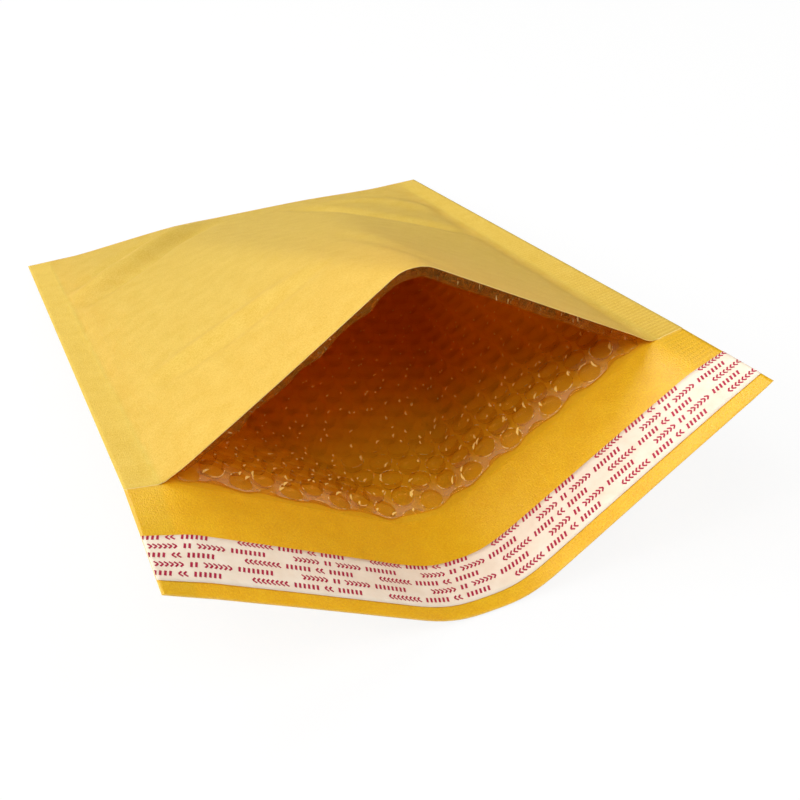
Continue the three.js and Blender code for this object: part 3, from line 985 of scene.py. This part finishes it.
def film_relief(s, t):
    """How the smooth sheet swells over each bubble and dips round it."""
    i = np.round((s - BUBBLE_FIRST_S) / BUBBLE_COLUMN)
    nearest = np.full(s.shape, FAR)
    for step in (-1, 0, 1):
        column = i + step
        start = np.where(column % 2 == 0, BUBBLE_FIRST_T, BUBBLE_FIRST_T - BUBBLE_PITCH / 2)
        row = np.maximum(np.round((t - start) / BUBBLE_PITCH), 0)
        away = np.hypot(s - BUBBLE_FIRST_S - BUBBLE_COLUMN * column, t - start - BUBBLE_PITCH * row)
        nearest = np.minimum(nearest, away)
    share = nearest / BUBBLE_RADIUS
    dome = np.where(share < 1, (1 - share**2) ** 2, 0.0)
    return DOME * dome - GROOVE * np.exp(-(((share - 1.0) / GROOVE_WIDTH) ** 2))


def build_film_sheet():
    piece = Piece()
    columns = np.linspace(-FILM_EDGE, FILM_EDGE, round(2 * FILM_EDGE / SHEET_CELL) + 1)
    far = DEPTH - FILM_END_INSET
    rows = np.linspace(far, FILM_SETBACK, round((far - FILM_SETBACK) / SHEET_CELL) + 1)
    s = np.broadcast_to(columns[None, :], (len(rows), len(columns)))
    from_edge = rows[:, None] - FILM_SETBACK
    t = rows[:, None] + (film_edge(s) - FILM_SETBACK) * np.exp(-from_edge / EDGE_FADE)
    layers = []
    feet = []
    for sheet, side in FILM_PANELS:
        thickness = film_thickness(s, t) * edge_share(sheet, s, t)
        swell = film_relief(s, t) * smoothstep((thickness - SWELL_START) / SWELL_FULL)
        points = sheet.at(s, t, side * (CLEARANCE + thickness + swell))
        layers.append(piece.add(points, s, t))
        foot = sheet.at(s[-1], t[-1], side * CLEARANCE / 2)
        feet.append(piece.add(foot, s[-1] + CUT_SLANT * thickness[-1], t[-1] - thickness[-1]))
    low, high = layers
    piece.patch(low, True, LOWER_FILM)
    piece.patch(high, False, UPPER_FILM)
    piece.wall(feet[0], low[-1], LOWER_CUT)
    piece.wall(high[-1], feet[1], UPPER_CUT)
    piece.wall(high[0], low[0])
    piece.wall(low[:, 0], high[:, 0])
    piece.wall(high[:, -1], low[:, -1])
    return piece.build("film_sheet", [film_lower, film_upper, film_cut_lower, film_cut_upper])


def glint_lines(s0, t0):
    """Both sides of a painted glint beside a bubble on the flat sheet, or None where there is none."""
    chance, turn, size, place = rng.random(4)
    if chance > GLINT_SHARE:
        return None
    nearness = max(0.0, 1 - t0 / GLINT_REACH)
    angle = math.radians(GLINT_FIRST_TURN + GLINT_TURN_SPAN * turn)
    length = (GLINT_SHORTEST + (1 - GLINT_SHORTEST) * size * nearness) * GLINT_LENGTH
    broad = (GLINT_NARROWEST + (1 - GLINT_NARROWEST) * nearness) * GLINT_WIDTH
    way = np.array([math.cos(angle), math.sin(angle)])
    across = np.array([-way[1], way[0]])
    away = 2 * math.pi * place
    middle = np.array([s0, t0]) + GLINT_RING * BUBBLE_RADIUS * np.array([math.cos(away), math.sin(away)])
    steps = np.linspace(-0.5, 0.5, GLINT_POINTS)
    curve = GLINT_BOW * length * (1 - 4 * steps**2)
    spine = middle + np.outer(steps * length, way) + np.outer(curve, across)
    width = broad / 2 * np.sqrt(np.maximum(1 - (2 * steps) ** 2, GLINT_END))
    past_edge = (spine[:, 1] < film_edge(spine[:, 0]) + GLINT_EDGE_GAP).any()
    if past_edge or abs(middle[0]) > FILM_EDGE - GLINT_SIDE_GAP:
        return None
    return spine + np.outer(width, across), spine - np.outer(width, across)


def add_painted_glints(piece, sheet, side, centres):
    """Short pale strips just off the film beside most bubbles, painted highlights on its creases, longer
    near the mouth.
    """
    for s0, t0 in np.repeat(centres, GLINTS_EACH, axis=0):
        flat_lines = glint_lines(s0, t0)
        if flat_lines is None:
            continue
        lines = []
        for line in flat_lines:
            s, t = line[:, 0], line[:, 1]
            height = CLEARANCE + film_thickness(s, t) * edge_share(sheet, s, t) + GLINT_LIFT
            lines.append(piece.add(sheet.at(s, t, side * height), s, t))
        low, high = lines[::-side]
        piece.wall(low, high, GLINT)


def build_bubbles():
    piece = Piece()
    centres = bubble_centres()
    turn = np.arange(BUBBLE_SEGMENTS) * 2 * math.pi / BUBBLE_SEGMENTS
    for sheet, side in FILM_PANELS:
        jitter = rng.normal(0.0, BUBBLE_JITTER, centres.shape)
        radii = BUBBLE_RADIUS * (1 + rng.normal(0.0, BUBBLE_SPREAD, len(centres)))
        places = centres + jitter
        rings = []
        kept = []
        for share, depth in BUBBLE_RINGS + ((0.0, 1.0),):
            corners = turn if share > 0 else turn[:1]
            s = places[:, :1] + share * radii[:, None] * np.cos(corners)[None, :]
            t = places[:, 1:] + share * radii[:, None] * np.sin(corners)[None, :]
            edge = film_edge(s)
            kept.append(t > edge)
            t = np.maximum(t, edge)
            room = film_thickness(s, t) * edge_share(sheet, s, t)
            points = sheet.at(s, t, side * (CLEARANCE + room * (1 - depth)))
            rings.append(piece.add(points, s, t))
        for k in range(len(rings) - 2):
            a, b = rings[k], rings[k + 1]
            a2, b2 = np.roll(a, -1, axis=1), np.roll(b, -1, axis=1)
            live = kept[k] | kept[k + 1] | np.roll(kept[k], -1, axis=1) | np.roll(kept[k + 1], -1, axis=1)
            part = BUBBLE_WALL if k == 0 else BUBBLE_TOP
            second, last = (b, a2)[::side]
            piece.quads(a[live], second[live], b2[live], last[live], part)
        a = rings[-2]
        a2 = np.roll(a, -1, axis=1)
        middle = np.broadcast_to(rings[-1], a.shape)
        live = kept[-2] | np.roll(kept[-2], -1, axis=1) | np.broadcast_to(kept[-1], a.shape)
        second, last = (middle, a2)[::side]
        piece.triangles(a[live], second[live], last[live], BUBBLE_TOP)
        add_painted_glints(piece, sheet, side, centres)
    return piece.build("film_bubbles", [bubble_clear, bubble_wall, painted_glint])


# Strips on the flap: they lie closer to each other than in the CAD source
STRIP_GAP = 0.04
STRIP_ROWS = 11
GLUE_HEIGHT = STRIP_GAP
LINER_HEIGHT = GLUE_HEIGHT + GLUE_THICKNESS + STRIP_GAP


def build_strip(name, start, end, height, thickness, material):
    piece = Piece()
    s = paper_columns[None, :]
    t = -np.linspace(start, end, STRIP_ROWS)[:, None]
    low = piece.add(lower_sheet.at(s, t, height), s, t)
    high = piece.add(lower_sheet.at(s, t, height + thickness), s, t)
    piece.patch(low, False)
    piece.patch(high, True)
    piece.wall(low[:, 0], high[:, 0])
    piece.wall(low[-1], high[-1])
    piece.wall(low[::-1, -1], high[::-1, -1])
    piece.wall(low[0, ::-1], high[0, ::-1])
    return piece.build(name, [material])


# Plain marks on the liner: a phrase of groups of chevrons and bars, repeated along each row
MARK_LIFT = 0.05
PHRASE = 45.0
PHRASES = 6
FIRST_PHRASE = 0.02
FIRST_TURNED_PHRASE = -0.36
MARK_STEP = 1.44
MARK_WIDTH = 1.05
MARK_HEIGHT = 2.1
MARK_STROKE = 0.6
BAR_STROKE = 0.72
BAR_SLANT = 0.3
MARK_INSET = 0.4
LEAST_AREA = 0.02
MARK_GROUPS = (6, 2, 6, 8)
MARK_ROWS = (0.045, 0.245, 0.445, 0.645, 0.845)


def build_marks():
    """Rows of plain chevrons and bars across the liner, in groups, every other row the other way round."""
    piece = Piece()
    height = LINER_HEIGHT + STRIP_THICKNESS + MARK_LIFT

    def bar(first, second, width):
        """A short stroke between two flat points."""
        direction = second - first
        side = np.array([-direction[1], direction[0]]) / np.linalg.norm(direction) * width / 2
        corners = np.array([first - side, second - side, second + side, first + side])
        corners[:, 0] = np.clip(corners[:, 0], -HALF, HALF)
        corners[:, 1] = np.clip(corners[:, 1], -STRIP_END, -STRIP_START)
        area = np.cross(corners[2] - corners[0], corners[3] - corners[1])
        if abs(area) < LEAST_AREA:
            return
        s, t = corners[:, 0], corners[:, 1]
        numbers = piece.add(lower_sheet.at(s, t, height), s, t)
        order = numbers if area > 0 else numbers[::-1]
        piece.quads(order[0:1], order[1:2], order[2:3], order[3:4])

    def chevron(point, back, middle):
        tip = np.array([point, middle])
        bar(np.array([back, middle + MARK_HEIGHT / 2]), tip, MARK_STROKE)
        bar(tip, np.array([back, middle - MARK_HEIGHT / 2]), MARK_STROKE)

    def slanted_bar(centre, middle):
        top = np.array([centre + BAR_SLANT, middle + MARK_HEIGHT / 2])
        foot = np.array([centre - BAR_SLANT, middle - MARK_HEIGHT / 2])
        bar(top, foot, BAR_STROKE)

    for row, share in enumerate(MARK_ROWS):
        middle = -(STRIP_START + share * STRIP_WIDTH)
        turned = row % 2 == 0
        first = FIRST_TURNED_PHRASE if turned else FIRST_PHRASE
        groups = MARK_GROUPS[::-1] if turned else MARK_GROUPS
        for k in range(PHRASES):
            at = -HALF + (first + k) * PHRASE
            for g, count in enumerate(groups):
                for m in range(count):
                    left = at + m * MARK_STEP
                    right = left + MARK_WIDTH
                    if left > HALF - MARK_INSET or right < -HALF + MARK_INSET:
                        continue
                    if g % 2 == 1:
                        slanted_bar((left + right) / 2, middle)
                    elif turned:
                        chevron(left, right, middle)
                    else:
                        chevron(right, left, middle)
                at += (count + 1) * MARK_STEP
    return piece.build("liner_marks", [liner_ink])


paper = build_paper()
film_sheet = build_film_sheet()
film_bubbles = build_bubbles()
glue = build_strip("glue", GLUE_START, GLUE_END, GLUE_HEIGHT, GLUE_THICKNESS, glue_amber)
liner = build_strip("liner", STRIP_START, STRIP_END, LINER_HEIGHT, STRIP_THICKNESS, liner_paper)
marks = build_marks()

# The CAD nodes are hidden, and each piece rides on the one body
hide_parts("paper_pouch")
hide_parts("bubble_liner")
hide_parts("glue_strip")
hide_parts("release_liner")
for piece, slot in (
    (paper, "paper"),
    (film_sheet, "film"),
    (film_bubbles, "film"),
    (glue, "glue"),
    (liner, "liner"),
    (marks, "liner"),
):
    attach(piece, "root")


# Camera at the photograph's viewing angle
AZIMUTH = math.radians(-19.65)
ELEVATION = math.radians(33.61)
ROLL = math.radians(-4.83)
DISTANCE = 0.4059
TARGET = Vector((0.0085, -0.0631, 0.015))
SENSOR = 36.0
FOCAL_PIXELS = 1065.96
PHOTO_PIXELS = 800
CLIP_START = 0.01

back = Vector(
    (
        math.sin(AZIMUTH) * math.cos(ELEVATION),
        -math.cos(AZIMUTH) * math.cos(ELEVATION),
        math.sin(ELEVATION),
    )
)
level = Vector((math.cos(AZIMUTH), math.sin(AZIMUTH), 0.0))
upright = back.cross(level)
right = level * math.cos(ROLL) + upright * math.sin(ROLL)
top = upright * math.cos(ROLL) - level * math.sin(ROLL)
camera_data = bpy.data.cameras.new("camera")
camera_data.sensor_width = SENSOR
camera_data.lens = SENSOR * FOCAL_PIXELS / PHOTO_PIXELS
camera_data.clip_start = CLIP_START
camera = bpy.data.objects.new("camera", camera_data)
turn = Matrix((right, top, back)).transposed().to_4x4()
camera.matrix_world = Matrix.Translation(TARGET + back * DISTANCE) @ turn
bpy.context.scene.collection.objects.link(camera)
bpy.context.scene.camera = camera


# Floor, just under the table plane, that the camera and reflections see as nearly white
WHITE = (1.0, 1.0, 1.0, 1.0)
FLOOR_REACH = 6.0
FLOOR_CORNERS = ((-1, -1), (1, -1), (1, 1), (-1, 1))
FLOOR_HEIGHT = -0.0003
FLOOR_TONE = (0.9, 0.9, 0.9, 1.0)
FLOOR_WHITE_SHARE = 0.88

# World light and soft lamps: place in metres and power in watts
WORLD_STRENGTH = 0.08
WORLD_TONE = (1.0, 0.95, 0.8, 1.0)
LAMP_SIZE = 1.2
LAMP_AIM = Vector((0.0, -0.03, 0.03))
LAMPS = (
    ("key", (-1.3, -0.5, 2.05), 16.5),
    ("left", (-2.1, 0.2, 1.1), 38.0),
    ("back", (-0.5, 1.4, 1.55), 18.0),
    ("front", (0.2, -1.5, 1.8), 14.5),
    ("right", (1.6, -0.6, 1.6), 17.0),
)


def build_floor():
    mesh = bpy.data.meshes.new("floor")
    corners = [(x * FLOOR_REACH, y * FLOOR_REACH, FLOOR_HEIGHT) for x, y in FLOOR_CORNERS]
    mesh.from_pydata(corners, [], [(0, 1, 2, 3)])
    n = Nodes(new_material("floor_white"))
    path = n.add("ShaderNodeLightPath")
    seen = n.math("MAXIMUM", path.outputs["Is Camera Ray"], path.outputs["Is Glossy Ray"])
    matt = n.add("ShaderNodeBsdfDiffuse", {"Color": FLOOR_TONE}).outputs[0]
    white = n.add("ShaderNodeEmission", {"Color": WHITE, "Strength": 1.0}).outputs[0]
    mesh.materials.append(n.output(n.layer(n.math("MULTIPLY", seen, FLOOR_WHITE_SHARE), matt, white)))
    floor = bpy.data.objects.new("floor", mesh)
    bpy.context.scene.collection.objects.link(floor)


def add_lamp(name, place, energy):
    lamp = bpy.data.lights.new(name, "AREA")
    lamp.size = LAMP_SIZE
    lamp.energy = energy
    holder = bpy.data.objects.new(name, lamp)
    holder.location = place
    holder.rotation_euler = (LAMP_AIM - Vector(place)).to_track_quat("-Z", "Y").to_euler()
    bpy.context.scene.collection.objects.link(holder)


def build_world():
    world = bpy.data.worlds.new("studio")
    world.use_nodes = True
    world.node_tree.nodes.clear()
    n = Nodes(world)
    seen = n.add("ShaderNodeLightPath").outputs["Is Camera Ray"]
    power = n.span(seen, 0.0, 1.0, WORLD_STRENGTH, 1.0)
    tone = n.mix(seen, WORLD_TONE, WHITE)
    light = n.add("ShaderNodeBackground", {"Color": tone, "Strength": power}).outputs[0]
    n.add("ShaderNodeOutputWorld", {"Surface": light})
    bpy.context.scene.world = world


build_floor()
build_world()
for lamp in LAMPS:
    add_lamp(*lamp)

bpy.context.scene.view_settings.view_transform = "Standard"
